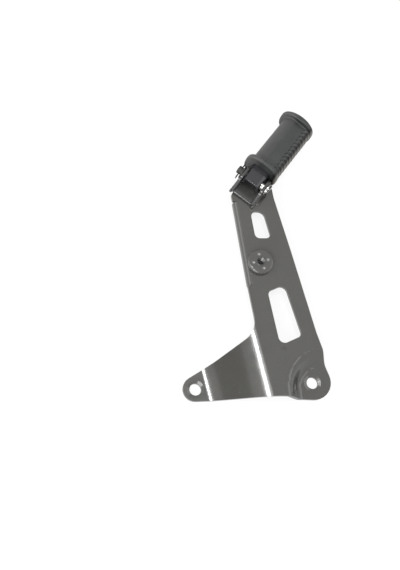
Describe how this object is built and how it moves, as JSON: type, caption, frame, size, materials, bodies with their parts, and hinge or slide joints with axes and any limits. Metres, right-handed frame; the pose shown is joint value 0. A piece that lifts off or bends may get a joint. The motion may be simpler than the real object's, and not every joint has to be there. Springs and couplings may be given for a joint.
{
  "type": "motorcycle rear footrest bracket",
  "caption": "Pressed steel side plate with bolt ears and windows, carrying a folding rubber-covered footrest peg in a welded clevis.",
  "frame": {"origin": "centre of the bounding box's floor; the floor is the plane of the two bolt ears' back faces", "axes": "+Z out of the plate's outer face, +Y from the bolt ears towards the peg, +X from the first bolt hole to the second"},
  "size_m": [0.1506, 0.2866, 0.0429],
  "materials": {
    "plate_paint": "glossy gunmetal grey",
    "clevis_paint": "glossy near-black",
    "core_paint": "satin black",
    "zinc": "bright zinc plate",
    "rubber": "satin moulded black"
  },
  "bodies": {
    "bracket": {"side_plate": "plate_paint", "weld_nut": "plate_paint", "clevis": "clevis_paint", "weld_bead_left": "clevis_paint", "weld_bead_right": "clevis_paint", "pivot_pin": "zinc", "head_washer": "zinc", "end_washer": "zinc", "cotter_pin": "zinc"},
    "peg": {"peg_core": "core_paint", "peg_rubber": "rubber"}
  },
  "joints": [
    {"name": "peg_fold", "type": "hinge", "parent": "bracket", "child": "peg", "pos_m": [0.01013, 0.07003, 0.02622], "axis": [0.7524, -0.6587, 0], "range_deg": [0, 90]}
  ]
}
